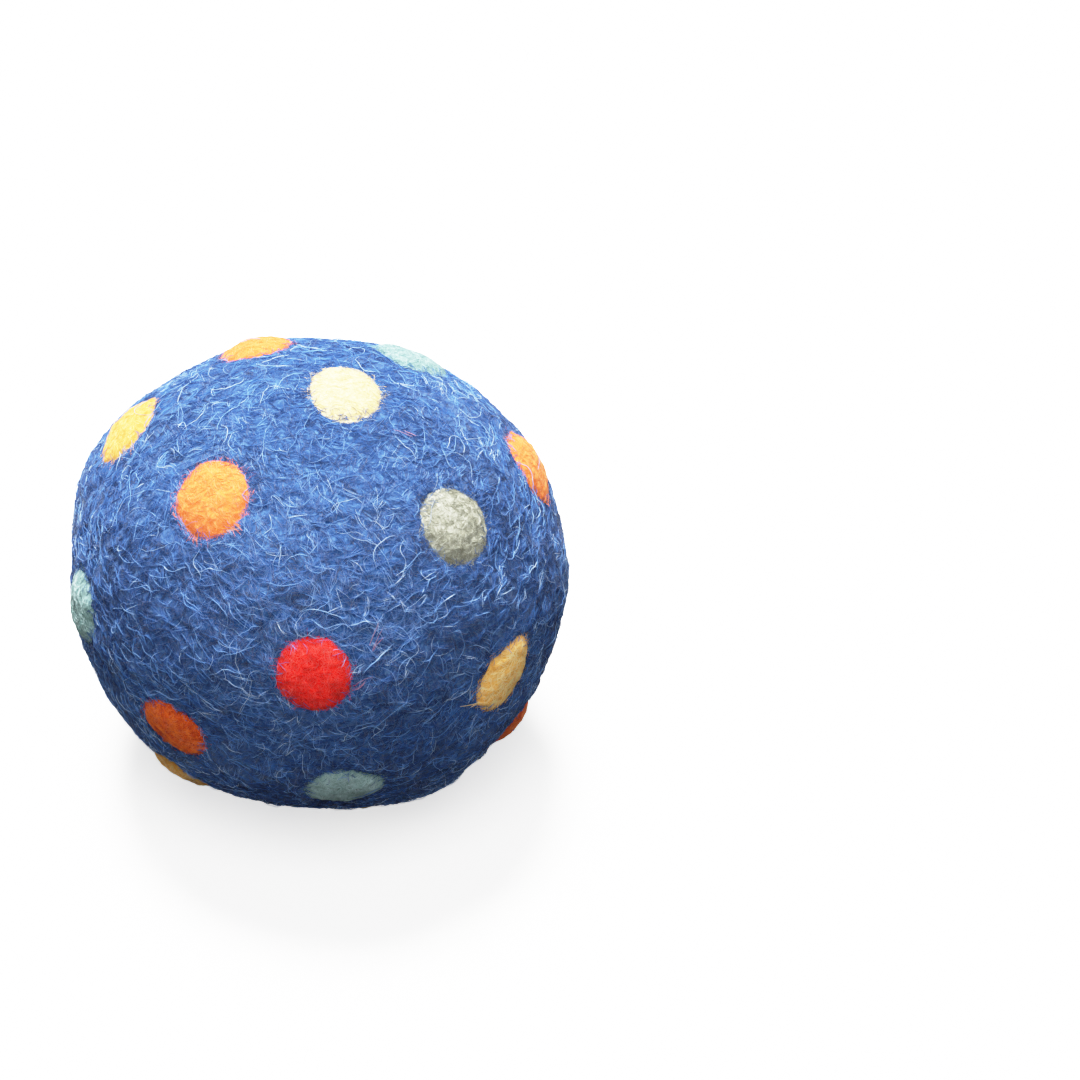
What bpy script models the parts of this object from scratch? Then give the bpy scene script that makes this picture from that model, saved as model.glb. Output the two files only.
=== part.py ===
"""Felted wool dryer ball with coloured dots needled into its blue skin.

The ball stands on a small flat at its lowest point, where the soft wool settles under its own
weight.  The origin is the middle of that flat and +Z is up.  Lengths are in metres.

From the inside out: a wound yarn core, three batts of wool wrapped crosswise around it, the
blue felt skin, and the dots.  Each dot is a round pad whose narrower root is needled through
the skin, so the skin has a stepped pocket under every dot.
"""
import math

import bmesh
import bpy
from mathutils import Matrix, Vector

# ---- the whole ball
BALL_WIDTH = 0.076
BALL_DEPTH = 0.075
BALL_HEIGHT = 0.0735
REST_FLAT_WIDTH = 0.013

# ---- layers
SKIN_THICKNESS = 0.006
BATT_THICKNESS = 0.005
LAYER_GAP = 0.0005
BATT_OPENING_ANGLE = math.radians(26)

# ---- dots
DOT_WIDTH = 0.0122
DOT_PROUD = 0.0008
DOT_HEAD_DEPTH = 0.0026
DOT_ROOT_WIDTH = 0.0073
DOT_GAP = 0.0003
DOT_EDGE_HEIGHT_SHARE = 0.3
DOT_DOME_POWER = 4

# ---- mesh density
SKIN_SEGMENTS = 48
SKIN_RINGS = 22
LAYER_SEGMENTS = 28
LAYER_RINGS = 14
BATT_RINGS = 10
DOT_SEGMENTS = 16
DOT_TOP_RINGS = (0.45, 0.8, 1.0)
SHARP_ANGLE = math.radians(35)

# ---- lengths that follow from the ones above
HALF_WIDTH = BALL_WIDTH / 2
HALF_DEPTH = BALL_DEPTH / 2
HALF_HEIGHT = BALL_HEIGHT / 2
DOT_RADIUS = DOT_WIDTH / 2
DOT_ROOT_RADIUS = DOT_ROOT_WIDTH / 2
REST_FLAT_POLAR_ANGLE = math.pi - math.asin(REST_FLAT_WIDTH / 2 / HALF_WIDTH)
BALL_CENTRE = Vector((0, 0, -HALF_HEIGHT * math.cos(REST_FLAT_POLAR_ANGLE)))

# ---- looks: linear red, green, blue, then roughness; felt has no metal in it
LOOKS = {
    "blue": ((0.115, 0.235, 0.52), 0.95),
    "core": ((0.62, 0.57, 0.47), 0.95),
    "batt": ((0.78, 0.73, 0.63), 0.95),
    "apricot": ((0.96, 0.48, 0.17), 0.92),
    "aqua": ((0.50, 0.72, 0.72), 0.92),
    "cream": ((0.92, 0.88, 0.70), 0.92),
    "grey": ((0.58, 0.58, 0.53), 0.94),
    "red": ((0.74, 0.05, 0.035), 0.92),
    "rust": ((0.60, 0.14, 0.03), 0.93),
    "yellow": ((0.90, 0.62, 0.21), 0.92),
}

# ---- the batts from the outermost inwards: name, and the axis each is laid around
BATTS = (
    ("batt_wrap_outer", "Z"),
    ("batt_wrap_middle", "Y"),
    ("batt_wrap_inner", "X"),
)

# ---- where the dots are: name, look, latitude and longitude in degrees
DOTS = (
    ("dot_top_cream", "cream", 81, 37),
    ("dot_front_apricot", "apricot", 56, -138),
    ("dot_front_grey", "grey", 45, -37),
    ("dot_back_apricot", "apricot", 53, 114),
    ("dot_back_aqua", "aqua", 51, 52),
    ("dot_left_yellow", "yellow", 38, 162),
    ("dot_right_apricot", "apricot", 28, 10),
    ("dot_front_red", "red", 21, -91),
    ("dot_back_grey", "grey", 14, 129),
    ("dot_back_cream", "cream", 15, 87),
    ("dot_back_red", "red", 13, 46),
    ("dot_front_yellow", "yellow", 3, -41),
    ("dot_left_aqua", "aqua", 5, -165),
    ("dot_left_red", "red", -3, 159),
    ("dot_front_rust", "rust", -6, -127),
    ("dot_right_yellow", "yellow", -12, 9),
    ("dot_front_aqua", "aqua", -20, -84),
    ("dot_low_apricot", "apricot", -25, 95),
    ("dot_low_grey", "grey", -27, 52),
    ("dot_low_cream", "cream", -30, 136),
    ("dot_low_rust", "rust", -27, -30),
    ("dot_low_aqua", "aqua", -36, 177),
    ("dot_low_yellow", "yellow", -35, -135),
    ("dot_under_cream", "cream", -58, -72),
    ("dot_under_red", "red", -60, 134),
    ("dot_under_aqua", "aqua", -61, 60),
)


def clear_scene():
    for thing in list(bpy.data.objects):
        bpy.data.objects.remove(thing, do_unlink=True)


def make_material(look):
    colour, roughness = LOOKS[look]
    material = bpy.data.materials.new(f"felt_{look}")
    material.use_nodes = True
    shader = material.node_tree.nodes["Principled BSDF"]
    shader.inputs["Base Color"].default_value = (*colour, 1)
    shader.inputs["Roughness"].default_value = roughness
    shader.inputs["Metallic"].default_value = 0
    material.diffuse_color = (*colour, 1)
    return material


def add_piece(name, mesh_builder, material):
    bmesh.ops.recalc_face_normals(mesh_builder, faces=mesh_builder.faces)
    mesh = bpy.data.meshes.new(name)
    mesh_builder.to_mesh(mesh)
    mesh_builder.free()
    piece = bpy.data.objects.new(name, mesh)
    bpy.context.scene.collection.objects.link(piece)
    if material:
        mesh.materials.append(material)
    smooth_round_faces(mesh)
    return piece


def smooth_round_faces(mesh):
    for face in mesh.polygons:
        face.use_smooth = True
    mesh.set_sharp_from_angle(angle=SHARP_ANGLE)


def ball_point(below, polar, around, axis="Z"):
    """A point on the ball's surface, or on a layer whose surface lies that far below it."""
    ring = math.sin(polar)
    direction = (ring * math.cos(around), ring * math.sin(around), math.cos(polar))
    if axis == "X":
        direction = (direction[2], direction[0], direction[1])
    if axis == "Y":
        direction = (direction[1], direction[2], direction[0])
    layer = Vector((HALF_WIDTH - below, HALF_DEPTH - below, HALF_HEIGHT - below))
    return BALL_CENTRE + layer * Vector(direction)


def add_ring(builder, points):
    return [builder.verts.new(point) for point in points]


def join_rings(builder, first, second):
    count = len(first)
    for i in range(count):
        j = (i + 1) % count
        builder.faces.new((first[i], first[j], second[j], second[i]))


def close_ring(builder, ring, centre):
    """Close a ring of points with triangles that meet at the centre."""
    tip = builder.verts.new(centre)
    for i, point in enumerate(ring):
        builder.faces.new((point, ring[(i + 1) % len(ring)], tip))


def turn_angles(count):
    return [2 * math.pi * i / count for i in range(count)]


def solid_ball(below, segments, rings, last_polar):
    """A closed ball, cut flat below the last polar angle when that is less than pi."""
    builder = bmesh.new()
    turns = turn_angles(segments)
    is_cut = last_polar < math.pi
    ring_count = rings if is_cut else rings - 1
    made = []
    for i in range(1, ring_count + 1):
        polar = last_polar * i / rings
        made.append(add_ring(builder, [ball_point(below, polar, turn) for turn in turns]))
    for upper, lower in zip(made, made[1:]):
        join_rings(builder, upper, lower)
    close_ring(builder, made[0], ball_point(below, 0, 0))
    bottom = ball_point(below, math.pi, 0)
    if is_cut:
        bottom.z = made[-1][0].co.z
    close_ring(builder, made[-1], bottom)
    return builder


def batt_wrap(below, axis):
    """A wide belt of wool laid around the axis, open at both of its ends."""
    builder = bmesh.new()
    turns = turn_angles(LAYER_SEGMENTS)
    span = math.pi - 2 * BATT_OPENING_ANGLE
    polars = [BATT_OPENING_ANGLE + span * i / BATT_RINGS for i in range(BATT_RINGS + 1)]
    loop = [(below, polar) for polar in polars]
    loop += [(below + BATT_THICKNESS, polar) for polar in reversed(polars)]
    made = []
    for level_below, polar in loop:
        points = [ball_point(level_below, polar, turn, axis) for turn in turns]
        made.append(add_ring(builder, points))
    for first, second in zip(made, made[1:] + made[:1]):
        join_rings(builder, first, second)
    return builder


def surface_frame(latitude, longitude):
    """The point of the ball's surface under a dot, with Z along the outward normal."""
    polar = math.radians(90 - latitude)
    point = ball_point(0, polar, math.radians(longitude))
    from_centre = point - BALL_CENTRE
    outward = Vector((
        from_centre.x / HALF_WIDTH**2,
        from_centre.y / HALF_DEPTH**2,
        from_centre.z / HALF_HEIGHT**2,
    ))
    turn = outward.to_track_quat("Z", "Y").to_matrix().to_4x4()
    return Matrix.Translation(point) @ turn


def height_of_surface(frame, x, y):
    """How far the ball's surface lies above the frame's own plane at x, y."""
    squash = Vector((1 / HALF_WIDTH, 1 / HALF_DEPTH, 1 / HALF_HEIGHT))
    start = (frame @ Vector((x, y, 0)) - BALL_CENTRE) * squash
    step = frame.to_3x3() @ Vector((0, 0, 1)) * squash
    half_b = start.dot(step) / step.length_squared
    rest = (start.length_squared - 1) / step.length_squared
    return -half_b + math.sqrt(half_b**2 - rest)


def dot_ring(frame, radius, height):
    """A ring around the frame's axis, with each point's height given by its x and y."""
    points = []
    for turn in turn_angles(DOT_SEGMENTS):
        x = radius * math.cos(turn)
        y = radius * math.sin(turn)
        points.append(frame @ Vector((x, y, height(x, y))))
    return points


def dot_top_height(frame):
    """The domed height of a dot's top over the frame's plane, as a function of x and y."""
    def height(x, y):
        share = math.hypot(x, y) / DOT_RADIUS
        dome = 1 - (1 - DOT_EDGE_HEIGHT_SHARE) * share**DOT_DOME_POWER
        return height_of_surface(frame, x, y) + DOT_PROUD * dome
    return height


def level(height):
    return lambda x, y: height


def dot_solid(frame):
    """A domed pad with a narrower root that reaches to the underside of the skin."""
    builder = bmesh.new()
    top = dot_top_height(frame)
    profile = [(DOT_RADIUS * share, top) for share in DOT_TOP_RINGS]
    profile.append((DOT_RADIUS, level(-DOT_HEAD_DEPTH)))
    profile.append((DOT_ROOT_RADIUS, level(-DOT_HEAD_DEPTH)))
    profile.append((DOT_ROOT_RADIUS, level(-SKIN_THICKNESS)))
    made = [add_ring(builder, dot_ring(frame, *step)) for step in profile]
    for first, second in zip(made, made[1:]):
        join_rings(builder, first, second)
    close_ring(builder, made[0], frame @ Vector((0, 0, top(0, 0))))
    close_ring(builder, made[-1], frame @ Vector((0, 0, -SKIN_THICKNESS)))
    return builder


def add_pocket(builder, frame):
    """Add the stepped space that a dot and its clearance take out of the skin."""
    wide = DOT_RADIUS + DOT_GAP
    narrow = DOT_ROOT_RADIUS + DOT_GAP
    ledge = -(DOT_HEAD_DEPTH + DOT_GAP)
    above = DOT_HEAD_DEPTH
    below = -(SKIN_THICKNESS + DOT_HEAD_DEPTH)
    profile = ((wide, above), (wide, ledge), (narrow, ledge), (narrow, below))
    made = []
    for ring_radius, height in profile:
        made.append(add_ring(builder, dot_ring(frame, ring_radius, level(height))))
    for first, second in zip(made, made[1:]):
        join_rings(builder, first, second)
    close_ring(builder, made[0], frame @ Vector((0, 0, above)))
    close_ring(builder, made[-1], frame @ Vector((0, 0, below)))


def add_cutter(name, builder):
    cutter = add_piece(name, builder, None)
    cutter.hide_render = True
    cutter.display_type = "WIRE"
    return cutter


def cut_away(body, cutter):
    cut = body.modifiers.new(f"cut_{cutter.name}", "BOOLEAN")
    cut.operation = "DIFFERENCE"
    cut.object = cutter


def build_layers(materials):
    """Lay the batts and the core one inside the other, from the skin's underside inwards."""
    below = SKIN_THICKNESS + LAYER_GAP
    for name, axis in BATTS:
        add_piece(name, batt_wrap(below, axis), materials["batt"])
        below += BATT_THICKNESS + LAYER_GAP
    core = solid_ball(below, LAYER_SEGMENTS, LAYER_RINGS, math.pi)
    add_piece("yarn_core", core, materials["core"])


def build_skin(materials):
    outside = solid_ball(0, SKIN_SEGMENTS, SKIN_RINGS, REST_FLAT_POLAR_ANGLE)
    skin = add_piece("blue_skin", outside, materials["blue"])
    inside = solid_ball(SKIN_THICKNESS, LAYER_SEGMENTS, LAYER_RINGS, math.pi)
    cut_away(skin, add_cutter("cavity", inside))
    pockets = bmesh.new()
    for _, _, latitude, longitude in DOTS:
        add_pocket(pockets, surface_frame(latitude, longitude))
    cut_away(skin, add_cutter("dot_pockets", pockets))


def build_dots(materials):
    for name, look, latitude, longitude in DOTS:
        add_piece(name, dot_solid(surface_frame(latitude, longitude)), materials[look])


def main():
    clear_scene()
    materials = {look: make_material(look) for look in LOOKS}
    build_layers(materials)
    build_skin(materials)
    build_dots(materials)


main()
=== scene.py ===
"""Looks of the felted wool dryer ball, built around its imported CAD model.

The felt is a solid mass of matted wool, so it isn't simulated as cloth: its skin and its dots
are displaced meshes, and the wool on them is grown as real fibres, each a thin tube that
follows the felt's surface.  Lengths are in metres, and everything random is seeded.
"""
import math

import bmesh
import bpy
import numpy as np
from mathutils import Matrix, Vector


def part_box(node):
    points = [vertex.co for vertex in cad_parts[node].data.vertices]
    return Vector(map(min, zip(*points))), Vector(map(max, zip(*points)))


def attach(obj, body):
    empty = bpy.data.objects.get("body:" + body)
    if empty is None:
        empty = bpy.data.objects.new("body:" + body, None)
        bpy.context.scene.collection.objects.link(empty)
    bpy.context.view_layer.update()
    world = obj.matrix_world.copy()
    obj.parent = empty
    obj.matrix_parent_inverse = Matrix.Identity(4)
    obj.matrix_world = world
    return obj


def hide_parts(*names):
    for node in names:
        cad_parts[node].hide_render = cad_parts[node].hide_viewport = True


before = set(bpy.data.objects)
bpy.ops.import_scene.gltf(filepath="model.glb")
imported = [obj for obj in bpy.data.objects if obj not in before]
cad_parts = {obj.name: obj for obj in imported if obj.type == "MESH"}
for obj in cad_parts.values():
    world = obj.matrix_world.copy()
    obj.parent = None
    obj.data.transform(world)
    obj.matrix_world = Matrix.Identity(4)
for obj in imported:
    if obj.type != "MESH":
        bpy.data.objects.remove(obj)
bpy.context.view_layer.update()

# ---- the ball, in the CAD's own sizes
_, SKIN_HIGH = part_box("blue_skin")
SEMI_AXES = np.array((0.038, 0.0375, 0.03675))
BALL_CENTRE = np.array((0, 0, SKIN_HIGH[2] - SEMI_AXES[2]))
MEAN_RADIUS = 0.0374
MM = 0.001

# ---- felt relief: strength, and lowest and highest wave number on the unit sphere
BROAD_RELIEF = ((0.30 * MM, 2.0, 5.0), (0.22 * MM, 8.0, 15.0))
FINE_RELIEF = ((0.10 * MM, 30.0, 60.0), (0.06 * MM, 110.0, 190.0))
WAVES_PER_RELIEF = 22

# ---- the ball's own lumps and dents: direction, angular width and height
LUMPS = (
    ((0.00, 0.71, 0.71), 0.26, -0.80 * MM),
    ((-0.09, -0.70, -0.70), 0.32, -0.60 * MM),
    ((0.50, 0.61, 0.61), 0.17, 0.60 * MM),
    ((-0.85, 0.37, 0.37), 0.23, 1.20 * MM),
    ((0.45, -0.63, -0.63), 0.18, 0.80 * MM),
)

# ---- dots
DOT_RADIUS = 5.8 * MM
DOT_STRETCH = {  # along the dot's two side axes, and how far those are turned
    "dot_top_cream": (1.18, 0.93, math.radians(-37)),
    "dot_front_red": (0.99, 1.10, 0.0),
    "dot_front_grey": (0.99, 1.02, 0.0),
    "dot_front_aqua": (1.03, 1.08, 0.0),
    "dot_front_rust": (1.06, 0.88, math.radians(-30)),
    "dot_front_yellow": (1.10, 0.84, math.radians(35)),
    "dot_back_aqua": (1.10, 1.0, 0.0),
    "dot_back_apricot": (0.93, 1.0, 0.0),
    "dot_low_rust": (0.84, 0.84, 0.0),
    "dot_low_yellow": (0.90, 0.90, 0.0),
}
DOT_PAINTED_LIGHT = {  # painted light and shade: each dot's wool made paler or deeper than the other dots of its colour, to stand in for the light it gets
    "dot_back_aqua": -0.25,
    "dot_front_aqua": 0.34,
    "dot_front_grey": -0.06,
    "dot_front_rust": 0.28,
    "dot_front_yellow": 0.26,
    "dot_left_yellow": -0.42,
    "dot_low_rust": 0.55,
    "dot_right_apricot": 0.20,
    "dot_top_cream": -0.12,
}
DOT_CROWN_RISE = 1.05 * MM
DOT_EDGE_RISE = -0.05 * MM
DOT_DOME_POWER = 2.8
PAD_HOLE = 0.02  # shares of a dot's outline: where its rings start, its lip and its back
PAD_LIP = 1.05
PAD_TUCK = 1.02
PAD_REACH = 1.1  # where a pad no longer covers the skin
FAR_SHARE = 9.0  # the share given to a place beyond a dot's reach
NEAR_COSINE = 0.94
GROOVE_DEPTH = 0.18 * MM
GROOVE_AT = 1.04
GROOVE_SHARE = 0.07
SKIN_DROP_UNDER_DOT = 0.7 * MM
FIBRE_MAT_DEPTH = 0.3 * MM
DOT_BACK_DEPTH = 2.2 * MM
FLOOR_GAP = 0.02 * MM

# ---- wisps: dot, turn around it, start as a share of its radius, length, heading and count
TUFTS = {
    "yellow": (("dot_front_yellow", 0.55, 0.86, 5.2 * MM, -0.35, 5),),
    "apricot": (
        ("dot_front_apricot", 1.88, 0.95, 2.4 * MM, 1.85, 8),
        ("dot_front_apricot", 2.95, 0.95, 2.4 * MM, 3.0, 8),
        ("dot_right_apricot", 0.6, 0.92, 1.8 * MM, 0.8, 5),
    ),
    "rose": (
        ("dot_front_red", 2.9, 1.15, 4.0 * MM, 3.6, 3),
        ("dot_front_red", 3.5, 1.70, 5.0 * MM, 4.2, 3),
        ("dot_front_grey", 4.3, 2.60, 3.2 * MM, 5.0, 2),
    ),
}
ROSE_TONES = ((0.0, (0.10, 0.05, 0.12)), (0.5, (0.36, 0.17, 0.26)), (1.0, (0.72, 0.46, 0.52)))
TUFT_RINGS = 7
TUFT_HEIGHT = 0.32 * MM

# ---- mesh density
SKIN_GRID = 126
DOT_RINGS = 26
DOT_SEGMENTS = 72
TUBE_SIDES = 3
CELL_MARGIN = 0.08

# ---- a fibre's arch, its dip at both ends, its unevenness and its tip's share of its radius
ARCH_POWER = 0.6
SKIN_DIP = 0.05 * MM
DOT_DIP = 0.03 * MM
HEIGHT_NOISE = 0.025 * MM
FIBRE_TIP = 0.35

# ---- how many fibres
BLUE_PIECES = 13
BLUE_PER_PIECE = 6600
LOOSE_HAIRS = 1900
EDGE_FIBRES = 220
DOT_FIBRES = 1280
RIM_FIBRES = 460

# ---- blue skin fibres, which lie in locks of a few that bend alike
LOCK = 3
LOCK_SPREAD = 0.15 * MM
LOCK_SPLAY = 0.18
BLUE_LENGTHS = (1.4 * MM, 4.6 * MM)
BLUE_LIFTS = (0.0, 0.24 * MM)
BLUE_RADII = (0.024, 0.052)  # all radii in millimetres

# ---- loose hairs, blue wool over the dots' edges, and the dots' own wool
LOOSE_LENGTHS = (2 * MM, 9 * MM)
LOOSE_LIFTS = (0.12 * MM, 0.5 * MM)
LOOSE_RADII = (0.026, 0.058)
LOOSE_OVER_DOTS = 0.04
EDGE_LENGTHS = (0.8 * MM, 2.4 * MM)
EDGE_LIFTS = (0.02 * MM, 0.3 * MM)
EDGE_RADII = (0.026, 0.046)
DOT_LENGTHS = (0.8 * MM, 2.4 * MM)
DOT_LIFT = 0.10 * MM
DOT_RADII = (0.024, 0.048)
TUFT_RADII = (0.034, 0.056)

# ---- colours, linear: base wool from its darkest to its palest tone
BLUE_TONES = (
    (0.0, (0.010, 0.030, 0.105)),
    (0.3, (0.030, 0.092, 0.290)),
    (0.6, (0.074, 0.196, 0.52)),
    (0.85, (0.19, 0.37, 0.72)),
    (1.0, (0.52, 0.66, 0.86)),
)
FELT_TONES = {  # dark, middle and light wool
    "apricot": ((0.80, 0.165, 0.036), (0.95, 0.225, 0.048), (0.97, 0.34, 0.10)),
    "aqua": ((0.13, 0.24, 0.24), (0.27, 0.42, 0.41), (0.44, 0.60, 0.61)),
    "cream": ((0.58, 0.46, 0.20), (0.74, 0.62, 0.30), (0.86, 0.77, 0.46)),
    "grey": ((0.17, 0.17, 0.125), (0.33, 0.34, 0.27), (0.58, 0.59, 0.51)),
    "red": ((0.50, 0.006, 0.004), (0.93, 0.014, 0.009), (0.97, 0.06, 0.036)),
    "rust": ((0.28, 0.030, 0.004), (0.66, 0.080, 0.009), (0.84, 0.20, 0.035)),
    "yellow": ((0.70, 0.33, 0.060), (0.96, 0.55, 0.14), (1.0, 0.84, 0.42)),
}


# ======================================================================= felt surface
def unit(vectors):
    return vectors / np.linalg.norm(vectors, axis=-1, keepdims=True)


def wave_set(rng, strength, lowest, highest):
    numbers = unit(rng.normal(size=(WAVES_PER_RELIEF, 3)))
    numbers *= rng.uniform(lowest, highest, (WAVES_PER_RELIEF, 1))
    phases = rng.uniform(0, 2 * math.pi, WAVES_PER_RELIEF)
    return numbers, phases, strength * math.sqrt(2 / WAVES_PER_RELIEF)


def relief(wave_sets, around):
    """Smooth random height at each direction, as the sum of plane waves."""
    total = np.zeros(len(around))
    for numbers, phases, strength in wave_sets:
        for number, phase in zip(numbers, phases):
            total += strength * np.sin(around @ number + phase)
    return total


relief_rng = np.random.default_rng(11)
BROAD_WAVES = [wave_set(relief_rng, *level) for level in BROAD_RELIEF]
FINE_WAVES = [wave_set(relief_rng, *level) for level in FINE_RELIEF]
LAY_WAVES = [wave_set(relief_rng, 1.0, 1.5, 5.0) for _ in range(3)]
LAY_STRENGTH = 0.9
TONE_WAVES = wave_set(relief_rng, 0.07, 5.0, 16.0)
MOTTLE_WAVES = wave_set(relief_rng, 0.14, 90.0, 260.0)


def smooth_step(x):
    x = np.clip(x, 0, 1)
    return x * x * (3 - 2 * x)


def dot_axis(name):
    """The direction, on the ball stretched to a unit sphere, of a CAD dot's crown."""
    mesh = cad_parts[name].data
    places = np.empty(len(mesh.vertices) * 3)
    mesh.vertices.foreach_get("co", places)
    places = places.reshape(-1, 3) - BALL_CENTRE
    crown = places[np.argmax(np.einsum("ij,j->i", places, unit(places.mean(0))))]
    return unit(crown / SEMI_AXES)


def side_axes(axis):
    first = unit(np.cross(axis, (0.0, 0.0, 1.0)) + 1e-9)
    return first, np.cross(axis, first)


WOBBLE = 0.016
WOBBLE_FADE = np.array((1.1, 0.9, 0.5, 0.35, 0.25))  # for 2 to 6 waves around a dot
dot_rng = np.random.default_rng(5)
DOTS = []
for dot_name in sorted(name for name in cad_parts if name.startswith("dot_")):
    dot_direction = dot_axis(dot_name)
    DOTS.append({
        "name": dot_name,
        "look": dot_name.split("_")[-1],
        "axis": dot_direction,
        "sides": side_axes(dot_direction),
        "radius": DOT_RADIUS * dot_rng.uniform(0.97, 1.04),
        "wobble": dot_rng.normal(0, WOBBLE, len(WOBBLE_FADE)) * WOBBLE_FADE,
        "turns": dot_rng.uniform(0, 2 * math.pi, len(WOBBLE_FADE)),
    })


def outline(dot, turn):
    """The dot's radius at each turn around its axis: round, but cut and felted by hand."""
    first, second, tilt = DOT_STRETCH.get(dot["name"], (1.0, 1.0, 0.0))
    share = 1 / np.hypot(np.cos(turn - tilt) / first, np.sin(turn - tilt) / second)
    for number, (size, phase) in enumerate(zip(dot["wobble"], dot["turns"]), start=2):
        share = share + size * np.sin(number * turn + phase)
    return dot["radius"] * share


def share_from_dot(dot, around):
    """Distance from the dot's middle as a share of its outline, and FAR_SHARE beyond reach."""
    cosine = around @ dot["axis"]
    result = np.full(len(around), FAR_SHARE)
    close = cosine > NEAR_COSINE
    near = around[close]
    first, second = dot["sides"]
    turn = np.arctan2(near @ second, near @ first)
    distance = MEAN_RADIUS * np.arccos(np.clip(cosine[close], -1, 1))
    result[close] = distance / outline(dot, turn)
    return result


def nearest_dot(around):
    """For each direction, the share from the nearest dot."""
    best = np.full(len(around), FAR_SHARE)
    for dot in DOTS:
        best = np.minimum(best, share_from_dot(dot, around))
    return best


def pad_rise(share):
    """How far a dot stands over the skin: crowned, and rounded down into the skin."""
    return DOT_EDGE_RISE + DOT_CROWN_RISE * (1 - np.clip(share, 0, PAD_REACH) ** DOT_DOME_POWER)


def broad_shape(around):
    """The hand-rolled ball's unevenness, under skin and dots alike."""
    height = relief(BROAD_WAVES, around) - FIBRE_MAT_DEPTH
    for direction, width, lump in LUMPS:
        angle = np.arccos(np.clip(around @ unit(np.array(direction)), -1, 1))
        height = height + lump * np.exp(-0.5 * (angle / width) ** 2)
    return height


def skin_offset(around, share=None):
    """The skin's height: uneven felt with a groove around each dot and a drop under it."""
    share = nearest_dot(around) if share is None else share
    height = broad_shape(around) + relief(FINE_WAVES, around)
    height -= GROOVE_DEPTH * np.exp(-(((share - GROOVE_AT) / GROOVE_SHARE) ** 2))
    height -= SKIN_DROP_UNDER_DOT * smooth_step((1.0 - share) / 0.1)
    return height


def pad_offset(around, share):
    return broad_shape(around) + 0.8 * relief(FINE_WAVES, around) + pad_rise(share)


def over_all_offset(around):
    """The height of whatever is on top, skin or dot."""
    share = nearest_dot(around)
    pads = np.where(share < PAD_REACH, pad_offset(around, share), -1.0)
    return np.maximum(skin_offset(around, share), pads)


def outward(around):
    return unit(around / SEMI_AXES)


def place(around, height):
    """Points that lie a height over the plain ball, none of them under the floor."""
    points = BALL_CENTRE + around * SEMI_AXES + outward(around) * height[:, None]
    points[:, 2] = np.maximum(points[:, 2], FLOOR_GAP)
    return points


# ======================================================================= meshes
def new_piece(name, points, faces, material):
    """A piece from points and faces, the faces all with the same number of corners."""
    mesh = bpy.data.meshes.new(name)
    faces = np.asarray(faces, dtype=np.int32)
    count, corners = faces.shape
    mesh.vertices.add(len(points))
    mesh.vertices.foreach_set("co", np.asarray(points, dtype=np.float32).ravel())
    mesh.loops.add(count * corners)
    mesh.loops.foreach_set("vertex_index", faces.ravel())
    mesh.polygons.add(count)
    mesh.polygons.foreach_set("loop_start", np.arange(0, count * corners, corners, dtype=np.int32))
    mesh.polygons.foreach_set("use_smooth", np.full(count, True))
    mesh.update(calc_edges=True)
    mesh.validate()
    mesh.materials.append(material)
    piece = bpy.data.objects.new(name, mesh)
    bpy.context.scene.collection.objects.link(piece)
    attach(piece, "root")
    return piece


def cube_ball(grid):
    """Directions and quads of a cube's faces blown up to a sphere, with shared edges."""
    line = np.tan(np.linspace(-math.pi / 4, math.pi / 4, grid + 1))
    first, second = np.meshgrid(line, line, indexing="ij")
    flat = np.stack((first.ravel(), second.ravel(), np.ones(first.size)), axis=1)
    index = np.arange(first.size).reshape(grid + 1, grid + 1)
    quad = np.stack((index[:-1, :-1], index[1:, :-1], index[1:, 1:], index[:-1, 1:]), -1)
    quad = quad.reshape(-1, 4)
    turns = (
        np.array(((1, 0, 0), (0, 1, 0), (0, 0, 1))),
        np.array(((1, 0, 0), (0, -1, 0), (0, 0, -1))),
        np.array(((0, 0, 1), (1, 0, 0), (0, 1, 0))),
        np.array(((0, 0, 1), (-1, 0, 0), (0, -1, 0))),
        np.array(((0, 1, 0), (0, 0, 1), (1, 0, 0))),
        np.array(((0, -1, 0), (0, 0, 1), (-1, 0, 0))),
    )
    around = []
    quads = []
    for number, turn in enumerate(turns):
        face = flat @ turn
        corner = face[quad[0]]
        facing = np.cross(corner[1] - corner[0], corner[2] - corner[0]) @ corner[0]
        order = quad if facing > 0 else quad[:, ::-1]
        quads.append(order + number * len(flat))
        around.append(face)
    around = unit(np.concatenate(around))
    quads = np.concatenate(quads)
    keys = np.round(around, 6)
    _, keep, same = np.unique(keys, axis=0, return_index=True, return_inverse=True)
    return around[keep], same.ravel()[quads]


def build_skin(material):
    around, quads = cube_ball(SKIN_GRID)
    points = place(around, skin_offset(around))
    skin = new_piece("felt_skin", points, quads, material)
    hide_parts("blue_skin")


def around_dot(dot, distance, turn):
    """Directions at a distance from a dot's middle and a turn around its axis."""
    first, second = dot["sides"]
    angle = (distance / MEAN_RADIUS)[:, None]
    side = np.cos(turn)[:, None] * first + np.sin(turn)[:, None] * second
    return np.cos(angle) * dot["axis"] + np.sin(angle) * side


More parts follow.
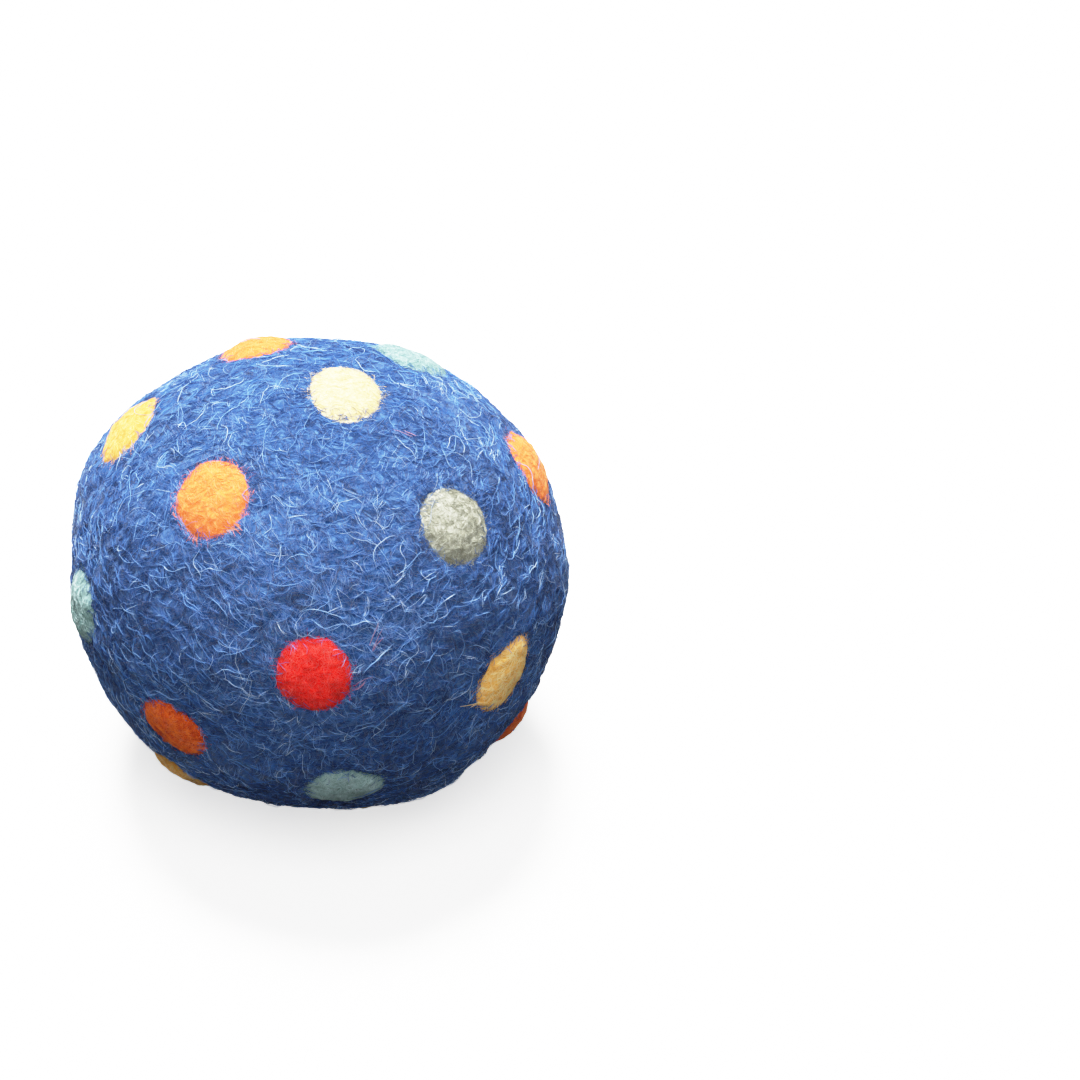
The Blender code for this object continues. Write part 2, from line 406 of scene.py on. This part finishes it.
def build_dot(dot, material):
    """A closed pad: a domed face, a rim tucked into the skin, and a hidden back."""
    ring_shares = np.concatenate((
        np.linspace(PAD_HOLE, 0.8, DOT_RINGS // 2),
        np.linspace(0.83, PAD_LIP, DOT_RINGS - DOT_RINGS // 2),
    ))
    turn = np.linspace(0, 2 * math.pi, DOT_SEGMENTS, endpoint=False)
    rows = []
    for share in ring_shares:
        around = around_dot(dot, share * outline(dot, turn), turn)
        rows.append(place(around, pad_offset(around, np.full(len(turn), share))))
    tucked = around_dot(dot, PAD_TUCK * outline(dot, turn), turn)
    rows.append(place(tucked, np.full(len(turn), -DOT_BACK_DEPTH)))
    middle = around_dot(dot, PAD_HOLE * outline(dot, turn), turn)
    rows.append(place(middle, np.full(len(turn), -DOT_BACK_DEPTH)))
    points = np.concatenate(rows)
    quads = []
    for row in range(len(rows) - 1):
        start = row * DOT_SEGMENTS
        here = np.arange(DOT_SEGMENTS)
        after = (here + 1) % DOT_SEGMENTS
        quads.append(np.stack((
            start + here,
            start + DOT_SEGMENTS + here,
            start + DOT_SEGMENTS + after,
            start + after,
        ), axis=1))
    quads = np.concatenate(quads)
    pad = new_piece(f"felt_{dot['name']}", points, quads, material)
    close_ends(pad)
    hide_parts(dot["name"])


def close_ends(piece):
    """Closes the two small holes in a pad's middle and turns its faces outward."""
    builder = bmesh.new()
    builder.from_mesh(piece.data)
    bmesh.ops.holes_fill(builder, edges=[e for e in builder.edges if e.is_boundary])
    bmesh.ops.recalc_face_normals(builder, faces=builder.faces)
    for face in builder.faces:
        face.smooth = True
    builder.to_mesh(piece.data)
    builder.free()


# ======================================================================= fibres
def random_directions(rng, count):
    return unit(rng.normal(size=(count, 3)))


def lay_of_wool(around):
    """The way the wool tends to lie at each direction: slow swirls, level near the bottom."""
    swirl = np.stack([relief([waves], around) for waves in LAY_WAVES], axis=1)
    level = np.cross((0.0, 0.0, 1.0), around)
    swirl = swirl + level * smooth_step((0.25 - around[:, 2:]) / 0.5)
    swirl = swirl - around * np.einsum("ij,ij->i", swirl, around)[:, None]
    return unit(swirl + 1e-9)


def turned(heading, around, angle):
    side = np.cross(around, heading)
    return np.cos(angle)[:, None] * heading + np.sin(angle)[:, None] * side


def fibre_walk(rng, start, length, steps, curl, kink, lock=1, spread=0.0, hold=0.7):
    """Each fibre's directions, step by step: a curled walk over the unit sphere.

    A lock is a few fibres that start side by side, within the spread, and bend alike.
    """
    count = len(start)
    groups = -(-count // lock)
    member = np.arange(count) // lock
    first = start[::lock]
    lay = lay_of_wool(first) * rng.choice((-1, 1), groups)[:, None] * LAY_STRENGTH
    heading = unit(np.cross(first, unit(rng.normal(size=(groups, 3)))) + lay)[member]
    around = unit(start[::lock][member] + rng.normal(0, spread / MEAN_RADIUS, (count, 3)))
    heading = unit(heading - around * np.einsum("ij,ij->i", heading, around)[:, None])
    if lock > 1:
        heading = turned(heading, around, rng.normal(0, LOCK_SPLAY, count))
    stride = length / steps / MEAN_RADIUS
    bend = rng.normal(0, curl, groups)[member]
    path = [around]
    for _ in range(steps):
        bend = hold * bend + rng.normal(0, kink, groups)[member]
        bend = bend + rng.normal(0, 0.3 * kink, count)
        heading = turned(heading, around, bend)
        around = unit(around + heading * stride[:, None])
        heading = unit(heading - around * np.einsum("ij,ij->i", heading, around)[:, None])
        path.append(around)
    return np.stack(path, axis=1)


def fibre_piece(name, points, normals, radius, tone, material):
    """Thin tubes along the fibres, tapered to their ends, with each one's tone as an attribute."""
    count, rings, _ = points.shape
    tangent = unit(np.gradient(points, axis=1))
    up = unit(normals - tangent * np.einsum("ijk,ijk->ij", normals, tangent)[..., None])
    side = np.cross(tangent, up)
    along = np.linspace(0, 1, rings)
    taper = FIBRE_TIP + (1 - FIBRE_TIP) * np.sin(np.pi * np.clip(along * 0.94 + 0.03, 0, 1)) ** 0.5
    size = radius[:, None] * taper[None, :]
    around = []
    for number in range(TUBE_SIDES):
        angle = math.pi / 2 + 2 * math.pi * number / TUBE_SIDES
        offset = math.cos(angle) * side + math.sin(angle) * up
        around.append(points + offset * size[..., None])
    verts = np.stack(around, axis=2).reshape(-1, 3)
    base = (np.arange(count) * rings * TUBE_SIDES)[:, None, None]
    ring = (np.arange(rings - 1) * TUBE_SIDES)[None, :, None]
    here = np.arange(TUBE_SIDES)[None, None, :]
    after = (here + 1) % TUBE_SIDES
    quads = np.stack((
        base + ring + here,
        base + ring + after,
        base + ring + TUBE_SIDES + after,
        base + ring + TUBE_SIDES + here,
    ), axis=-1).reshape(-1, 4)
    verts[:, 2] = np.maximum(verts[:, 2], 0.0)
    piece = new_piece(name, verts, quads, material)
    mesh = piece.data
    attribute = mesh.attributes.new("tone", "FLOAT", "POINT")
    attribute.data.foreach_set("value", np.repeat(tone, rings * TUBE_SIDES).astype(np.float32))
    unroll_fibres(mesh, count, rings)
    return piece


def unroll_fibres(mesh, count, rings):
    """A UV map that gives each fibre a small cell of its own and lays its tube flat in it."""
    columns = math.ceil(math.sqrt(count))
    number = np.arange(count)
    cell = np.stack((number % columns, number // columns), axis=1)[:, None, None, None, :]
    ring, side = np.meshgrid(np.arange(rings - 1), np.arange(TUBE_SIDES), indexing="ij")
    across = (side[..., None] + np.array((0, 1, 1, 0))) / TUBE_SIDES
    along = (ring[..., None] + np.array((0, 0, 1, 1))) / (rings - 1)
    inside = CELL_MARGIN + (1 - 2 * CELL_MARGIN) * np.stack((across, along), axis=-1)
    layer = mesh.uv_layers.new(name="OFBake")
    layer.uv.foreach_set("vector", ((cell + inside) / columns).astype(np.float32).ravel())


def arched(lift, rings, dip):
    """Heights along fibres that rise in their middle and dip into the felt at both ends."""
    arch = np.sin(np.pi * np.linspace(0, 1, rings)) ** ARCH_POWER
    return lift[:, None] * arch[None, :] - dip * (1 - arch[None, :])


def mat_fibres(rng, count, lengths, rise, surface, curl=0.10, kink=0.15, steps=5, start=None,
               lock=1, spread=0.0, hold=0.7):
    """Points and normals of fibres that lie matted on a surface."""
    start = random_directions(rng, count) if start is None else start
    length = rng.uniform(*lengths, count)
    walk = fibre_walk(rng, start, length, steps, curl, kink, lock, spread, hold)
    rings = steps + 1
    lift = rng.uniform(*rise, count)
    height = arched(lift, rings, SKIN_DIP) + rng.normal(0, HEIGHT_NOISE, (count, rings))
    flat = walk.reshape(-1, 3)
    total = surface(flat) + height.ravel()
    points = place(flat, total).reshape(count, rings, 3)
    return points, outward(flat).reshape(count, rings, 3), lift


def build_blue_fibres(material):
    """The felt's own wool, with painted light and shade: pale where it lies on top and darker
    deeper down.
    """
    rng = np.random.default_rng(21)
    for number in range(BLUE_PIECES):
        count = BLUE_PER_PIECE
        points, normals, lift = mat_fibres(
            rng, count, BLUE_LENGTHS, BLUE_LIFTS, skin_offset, lock=LOCK, spread=LOCK_SPREAD,
        )
        lock_tone = np.repeat(rng.beta(1.0, 2.2, count // LOCK), LOCK)
        # painted light and shade: the higher a fibre lifts, the paler its tone
        tone = lock_tone * 0.97 + rng.uniform(-0.17, 0.17, count) + lift / MM * 0.8 - 0.13
        middle = unit((points[:, 2] - BALL_CENTRE) / SEMI_AXES)
        tone += relief([TONE_WAVES], middle)
        tone = np.clip(tone, 0, 1)
        radius = rng.uniform(*BLUE_RADII, count) * MM
        fibre_piece(f"skin_fibres_{number + 1}", points, normals, radius, tone, material)


def build_loose_hairs(material):
    """Long pale hairs that wander over the skin, and only here and there over a dot."""
    rng = np.random.default_rng(31)
    count = LOOSE_HAIRS
    points, normals, _ = mat_fibres(
        rng, count, LOOSE_LENGTHS, LOOSE_LIFTS, over_all_offset,
        curl=0.05, kink=0.24, steps=12, hold=0.45,
    )
    tone = rng.uniform(0.62, 0.96, count)
    radius = rng.uniform(*LOOSE_RADII, count) * MM
    off_dots = nearest_dot(unit((points - BALL_CENTRE) / SEMI_AXES).reshape(-1, 3))
    keep = off_dots.reshape(count, -1).min(axis=1) > rng.uniform(0.7, 1.05, count)
    keep |= rng.uniform(size=count) < LOOSE_OVER_DOTS
    fibre_piece("loose_hairs", points[keep], normals[keep], radius[keep], tone[keep], material)


def build_edge_fibres(material):
    """Blue wool that was felted over the dots' edges."""
    rng = np.random.default_rng(61)
    starts = []
    for dot in DOTS:
        distance = dot["radius"] * rng.uniform(1.0, 1.22, EDGE_FIBRES)
        starts.append(around_dot(dot, distance, rng.uniform(0, 2 * math.pi, EDGE_FIBRES)))
    starts = np.concatenate(starts)
    count = len(starts)
    points, normals, _ = mat_fibres(
        rng, count, EDGE_LENGTHS, EDGE_LIFTS, over_all_offset,
        curl=0.2, kink=0.3, steps=4, start=starts,
    )
    tone = rng.beta(1.6, 2.6, count) * 0.8
    radius = rng.uniform(*EDGE_RADII, count) * MM
    fibre_piece("edge_fibres", points, normals, radius, tone, material)


def build_tufts(look, material):
    """Wisps of a dot's own wool that were dragged out over the blue."""
    rng = np.random.default_rng(71 + sorted(TUFTS).index(look))
    paths = []
    for dot_name, turn, start, length, heading, count in TUFTS[look]:
        dot = next(d for d in DOTS if d["name"] == dot_name)
        along = np.linspace(0, 1, TUFT_RINGS)
        for _ in range(count):
            root = dot["radius"] * start
            root_turn = turn + rng.normal(0, 0.10)
            angle = heading + rng.normal(0, 0.09) + rng.normal(0, 0.25) * along
            reach = length * rng.uniform(0.45, 1.0) * along
            first = root * math.cos(root_turn) + reach * np.cos(angle)
            second = root * math.sin(root_turn) + reach * np.sin(angle)
            paths.append(around_dot(dot, np.hypot(first, second), np.arctan2(second, first)))
    walk = np.stack(paths)
    count = len(walk)
    flat = walk.reshape(-1, 3)
    height = over_all_offset(flat) + TUFT_HEIGHT
    points = place(flat, height).reshape(count, TUFT_RINGS, 3)
    normals = outward(flat).reshape(count, TUFT_RINGS, 3)
    radius = rng.uniform(*TUFT_RADII, count) * MM
    fibre_piece(f"tufts_{look}", points, normals, radius, rng.uniform(0.3, 0.8, count), material)


def build_dot_fibres(look, material):
    """The dots' own wool, darker towards the rim, partly as painted shade for the dome's falling
    edge and partly as wool blending with the blue, with a few fibres reaching past it.
    """
    rng = np.random.default_rng(41 + sorted(FELT_TONES).index(look))
    all_points, all_normals, all_tones, all_radii = [], [], [], []
    for dot in DOTS:
        if dot["look"] != look:
            continue
        count = DOT_FIBRES + RIM_FIBRES
        reach = np.sqrt(rng.uniform(0, 0.99, count))
        reach[DOT_FIBRES:] = rng.uniform(0.93, 1.03, RIM_FIBRES)
        distance = dot["radius"] * reach
        start = around_dot(dot, distance, rng.uniform(0, 2 * math.pi, count))
        length = rng.uniform(*DOT_LENGTHS, count)
        walk = fibre_walk(rng, start, length, 4, 0.2, 0.25)
        rings = walk.shape[1]
        lift = rng.uniform(0, DOT_LIFT, count)
        height = arched(lift, rings, DOT_DIP)
        flat = walk.reshape(-1, 3)
        share = share_from_dot(dot, flat)
        limit = rng.uniform(0.97, 1.16, count)
        limit[DOT_FIBRES:] = rng.uniform(1.04, 1.40, RIM_FIBRES)
        keep = share.reshape(count, rings).max(axis=1) < limit
        surface = np.maximum(pad_offset(flat, share), skin_offset(flat, share))
        points = place(flat, surface + height.ravel()).reshape(count, rings, 3)
        all_points.append(points[keep])
        all_normals.append(outward(flat).reshape(count, rings, 3)[keep])
        middle = share.reshape(count, rings)[:, rings // 2]
        # painted light and shade: fibres that lift higher are paler
        tone = rng.beta(1.5, 1.6, count) * 0.9 + lift / MM * 0.9
        tone += relief([MOTTLE_WAVES], walk[:, rings // 2])
        # painted light and shade: the dot's own shift, paler where it is to look more lit, deeper
        # where less
        tone += DOT_PAINTED_LIGHT.get(dot["name"], 0.0)
        # painted shade towards the rim, partly also the wool blending with the blue there
        tone = np.clip(tone - 0.5 * smooth_step((middle - 0.72) / 0.4), 0, 1)
        all_tones.append(tone[keep])
        all_radii.append((rng.uniform(*DOT_RADII, count) * MM)[keep])
    fibre_piece(f"dot_fibres_{look}", np.concatenate(all_points), np.concatenate(all_normals),
                np.concatenate(all_radii), np.concatenate(all_tones), material)


# ======================================================================= materials
def node(tree, kind, **values):
    made = tree.nodes.new(kind)
    for key, value in values.items():
        if key in made.inputs:
            made.inputs[key].default_value = value
        else:
            setattr(made, key, value)
    return made


def set_ramp(ramp, stops):
    while len(ramp.elements) > 2:
        ramp.elements.remove(ramp.elements[-1])
    while len(ramp.elements) < len(stops):
        ramp.elements.new(0.5)
    for element, (position, colour) in zip(ramp.elements, stops):
        element.position = position
        element.color = (*colour, 1)


def three_stops(look):
    dark, middle, light = FELT_TONES[look]
    return ((0.0, dark), (0.45, middle), (1.0, light))


def darker(colour, by):
    return tuple(by * channel for channel in colour)


def felt_material(name, stops, dim, bump_height):
    """Matted wool seen between the fibres: mottled tones, dimmed as painted shade for the gaps
    under the fibres, and a fine tangled relief.
    """
    material = bpy.data.materials.new(name)
    material.use_nodes = True
    tree = material.node_tree
    shader = tree.nodes["Principled BSDF"]
    places = node(tree, "ShaderNodeTexCoord")
    mottle = node(tree, "ShaderNodeTexNoise", Scale=1100, Detail=6, Roughness=0.7, Distortion=0.8)
    tree.links.new(places.outputs["Object"], mottle.inputs["Vector"])
    ramp = node(tree, "ShaderNodeValToRGB")
    # painted shade: the tones dimmed for wool seen in the gaps under the fibres
    set_ramp(ramp.color_ramp, [(0.25 + 0.5 * at, darker(colour, dim)) for at, colour in stops])
    tree.links.new(mottle.outputs["Fac"], ramp.inputs["Fac"])
    tree.links.new(ramp.outputs["Color"], shader.inputs["Base Color"])
    tangle = node(tree, "ShaderNodeTexNoise", Scale=2600, Detail=4, Roughness=0.7, Distortion=1.6)
    tree.links.new(places.outputs["Object"], tangle.inputs["Vector"])
    bump = node(tree, "ShaderNodeBump", Strength=0.8, Distance=bump_height)
    tree.links.new(tangle.outputs["Fac"], bump.inputs["Height"])
    tree.links.new(bump.outputs["Normal"], shader.inputs["Normal"])
    shader.inputs["Roughness"].default_value = 0.95
    shader.inputs["Specular IOR Level"].default_value = 0.15
    shader.inputs["Sheen Weight"].default_value = 0.15
    shader.inputs["Sheen Roughness"].default_value = 0.5
    return material


def fibre_material(name, stops):
    """One wool fibre's colour, by its own tone, a little uneven along it."""
    material = bpy.data.materials.new(name)
    material.use_nodes = True
    tree = material.node_tree
    shader = tree.nodes["Principled BSDF"]
    tone = node(tree, "ShaderNodeAttribute", attribute_name="tone")
    places = node(tree, "ShaderNodeTexCoord")
    uneven = node(tree, "ShaderNodeTexNoise", Scale=700, Detail=2)
    tree.links.new(places.outputs["Object"], uneven.inputs["Vector"])
    spread = node(tree, "ShaderNodeMath", operation="MULTIPLY_ADD")
    spread.inputs[1].default_value = 0.5
    spread.inputs[2].default_value = -0.25
    tree.links.new(uneven.outputs["Fac"], spread.inputs[0])
    total = node(tree, "ShaderNodeMath", operation="ADD")
    tree.links.new(tone.outputs["Fac"], total.inputs[0])
    tree.links.new(spread.outputs[0], total.inputs[1])
    ramp = node(tree, "ShaderNodeValToRGB")
    set_ramp(ramp.color_ramp, stops)
    tree.links.new(total.outputs[0], ramp.inputs["Fac"])
    tree.links.new(ramp.outputs["Color"], shader.inputs["Base Color"])
    shader.inputs["Roughness"].default_value = 0.7
    shader.inputs["Specular IOR Level"].default_value = 0.2
    shader.inputs["Sheen Weight"].default_value = 0.25
    shader.inputs["Sheen Roughness"].default_value = 0.4
    return material


def undyed_material(name, light, dark, scale):
    """Undyed wool of the hidden layers: streaky strands in a soft relief."""
    material = bpy.data.materials.new(name)
    material.use_nodes = True
    tree = material.node_tree
    shader = tree.nodes["Principled BSDF"]
    places = node(tree, "ShaderNodeTexCoord")
    strands = node(tree, "ShaderNodeTexNoise", Scale=scale, Detail=6, Roughness=0.65, Distortion=2)
    tree.links.new(places.outputs["Object"], strands.inputs["Vector"])
    ramp = node(tree, "ShaderNodeValToRGB")
    set_ramp(ramp.color_ramp, ((0.3, dark), (0.7, light)))
    tree.links.new(strands.outputs["Fac"], ramp.inputs["Fac"])
    tree.links.new(ramp.outputs["Color"], shader.inputs["Base Color"])
    bump = node(tree, "ShaderNodeBump", Strength=0.6, Distance=0.3 * MM)
    tree.links.new(strands.outputs["Fac"], bump.inputs["Height"])
    tree.links.new(bump.outputs["Normal"], shader.inputs["Normal"])
    shader.inputs["Roughness"].default_value = 0.95
    return material


# ======================================================================= stage
LAMPS = (  # name, place, aim, size, power and colour
    ("key", (-0.06, 0.25, 0.76), (0, 0, 0.04), 0.40, 24, (1, 0.99, 0.97)),
    ("fill", (0.0, -0.50, 0.94), (0, 0, 0.03), 0.60, 9.5, (1, 0.99, 0.98)),
)
SKY_SLOPE = (("From Min", -0.15), ("From Max", 0.5), ("To Min", 0.03), ("To Max", 0.2))
FLOOR_GLOW = 0.75
SWEEP_SIDES = 64  # and its profile as radius and height
SWEEP_PROFILE = ((1.0, 0), (3.0, 0), (3.6, 0.08), (4.1, 0.32), (4.5, 0.75), (4.75, 1.4), (4.8, 4.5))
TONE_WHITE = 5.0
TONE_KNEE = 0.5
TONE_TOE = 0.010
TONE_STEPS = (0, 0.02, 0.05, 0.12, 0.25, 0.5, 0.65, 0.8, 1.0, 1.3, 1.7, 2.3, 3.2, 5.0)
CAMERA_ELEVATION = math.radians(45)
CAMERA_AZIMUTH = math.radians(-1)
CAMERA_LENS = 300
SENSOR_WIDTH = 36
FRAME_WIDTH = 0.166829  # metres across the view, at the ball
BALL_LEFT_BY = 0.034138
BALL_DOWN_BY = 0.005098


def build_camera():
    """A long lens from well above, with the ball left of the view's middle."""
    camera_data = bpy.data.cameras.new("camera")
    camera_data.lens = CAMERA_LENS
    camera_data.sensor_width = SENSOR_WIDTH
    camera_data.clip_end = 20
    camera = bpy.data.objects.new("camera", camera_data)
    bpy.context.scene.collection.objects.link(camera)
    distance = FRAME_WIDTH * CAMERA_LENS / SENSOR_WIDTH
    turn = Matrix.Rotation(CAMERA_AZIMUTH, 3, "Z")
    back = turn @ Vector((0, -math.cos(CAMERA_ELEVATION), math.sin(CAMERA_ELEVATION)))
    up = turn @ Vector((0, math.sin(CAMERA_ELEVATION), math.cos(CAMERA_ELEVATION)))
    right = turn @ Vector((1, 0, 0))
    aim = Vector(BALL_CENTRE) + right * BALL_LEFT_BY + up * BALL_DOWN_BY
    camera.location = aim + back * distance
    camera.rotation_euler = (math.pi / 2 - CAMERA_ELEVATION, 0, CAMERA_AZIMUTH)
    bpy.context.scene.camera = camera


def add_area_light(name, place_at, aim_at, size, power, colour):
    light_data = bpy.data.lights.new(name, "AREA")
    light_data.shape = "DISK"
    light_data.size = size
    light_data.energy = power
    light_data.color = colour
    light = bpy.data.objects.new(name, light_data)
    bpy.context.scene.collection.objects.link(light)
    light.location = place_at
    light.rotation_euler = (Vector(aim_at) - Vector(place_at)).to_track_quat("-Z", "Y").to_euler()


def set_tones():
    """A plain display with a soft shoulder, so that pale wool in full light keeps its tint."""
    view = bpy.context.scene.view_settings
    view.view_transform = "Standard"
    view.look = "None"
    view.use_curve_mapping = True
    mapping = view.curve_mapping
    mapping.white_level = (TONE_WHITE, TONE_WHITE, TONE_WHITE)
    curve = mapping.curves[3]
    for at in TONE_STEPS[1:-1]:
        curve.points.new(at / TONE_WHITE, shoulder(at))
    curve.points[0].location = (0, 0)
    curve.points[-1].location = (1, shoulder(TONE_WHITE))
    for point in curve.points:
        point.handle_type = "AUTO_CLAMPED"
    mapping.update()


def shoulder(light):
    light = light * light / (light + TONE_TOE)
    if light <= TONE_KNEE:
        return light
    rest = 1 - TONE_KNEE
    return TONE_KNEE + rest * (1 - math.exp(-(light - TONE_KNEE) / rest))


def build_sweep():
    """A flat floor that curves up all around into a pale wall."""
    mesh = bpy.data.meshes.new("floor")
    turn = np.linspace(0, 2 * math.pi, SWEEP_SIDES, endpoint=False)
    points = [(0, 0, 0)]
    for radius, height in SWEEP_PROFILE:
        points += [(radius * math.cos(a), radius * math.sin(a), height) for a in turn]
    faces = []
    for number in range(SWEEP_SIDES):
        after = (number + 1) % SWEEP_SIDES
        faces.append((0, 1 + number, 1 + after))
        for ring in range(len(SWEEP_PROFILE) - 1):
            inner = 1 + ring * SWEEP_SIDES
            outer = inner + SWEEP_SIDES
            faces.append((inner + number, outer + number, outer + after, inner + after))
    mesh.from_pydata(points, [], faces)
    floor = bpy.data.objects.new("floor", mesh)
    bpy.context.scene.collection.objects.link(floor)
    return floor


def build_stage():
    """The pale sweep, a dim sky that is darker from below, and two soft lamps."""
    floor = build_sweep()
    mesh = floor.data
    material = bpy.data.materials.new("floor")
    material.use_nodes = True
    shader = material.node_tree.nodes["Principled BSDF"]
    shader.inputs["Base Color"].default_value = (0.86, 0.86, 0.86, 1)
    shader.inputs["Roughness"].default_value = 0.9
    shader.inputs["Specular IOR Level"].default_value = 0.1
    shader.inputs["Emission Color"].default_value = (1, 1, 1, 1)
    shader.inputs["Emission Strength"].default_value = FLOOR_GLOW
    mesh.materials.append(material)
    floor.visible_diffuse = False
    world = bpy.data.worlds.new("world")
    bpy.context.scene.world = world
    world.use_nodes = True
    background = world.node_tree.nodes["Background"]
    background.inputs["Color"].default_value = (0.95, 0.97, 1.0, 1)
    places = node(world.node_tree, "ShaderNodeTexCoord")
    axes = node(world.node_tree, "ShaderNodeSeparateXYZ")
    world.node_tree.links.new(places.outputs["Generated"], axes.inputs[0])
    sky = node(world.node_tree, "ShaderNodeMapRange")
    for socket, value in SKY_SLOPE:
        sky.inputs[socket].default_value = value
    world.node_tree.links.new(axes.outputs["Z"], sky.inputs["Value"])
    world.node_tree.links.new(sky.outputs["Result"], background.inputs["Strength"])
    for lamp in LAMPS:
        add_area_light(*lamp)


# ======================================================================= build
build_camera()
# painted shade: the blue felt between the fibres at 0.55 of the wool's tones
blue_felt = felt_material("blue_felt_base", BLUE_TONES, 0.55, 0.25 * MM)
blue_fibre = fibre_material("blue_wool", BLUE_TONES)
build_skin(blue_felt)
pad_materials = {
    # painted shade: the dots' felt between the fibres at 0.85 of their wool's tones
    look: felt_material(f"{look}_felt_base", three_stops(look), 0.85, 0.05 * MM)
    for look in FELT_TONES
}
for felt_dot in DOTS:
    build_dot(felt_dot, pad_materials[felt_dot["look"]])
build_blue_fibres(blue_fibre)
build_loose_hairs(blue_fibre)
build_edge_fibres(blue_fibre)
for felt_look in sorted(FELT_TONES):
    dot_wool = fibre_material(f"{felt_look}_wool", three_stops(felt_look))
    build_dot_fibres(felt_look, dot_wool)
    if felt_look in TUFTS:
        build_tufts(felt_look, dot_wool)
build_tufts("rose", fibre_material("rose_wool", ROSE_TONES))

batt = undyed_material("undyed_batt", (0.78, 0.73, 0.63), (0.5, 0.45, 0.36), 500)
yarn = undyed_material("undyed_yarn", (0.62, 0.57, 0.47), (0.38, 0.33, 0.26), 800)
for inner_name, inner_look in (
    ("batt_wrap_outer", batt),
    ("batt_wrap_middle", batt),
    ("batt_wrap_inner", batt),
    ("yarn_core", yarn),
):
    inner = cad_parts[inner_name]
    for inner_slot in inner.material_slots:
        inner_slot.material = inner_look

build_stage()
set_tones()
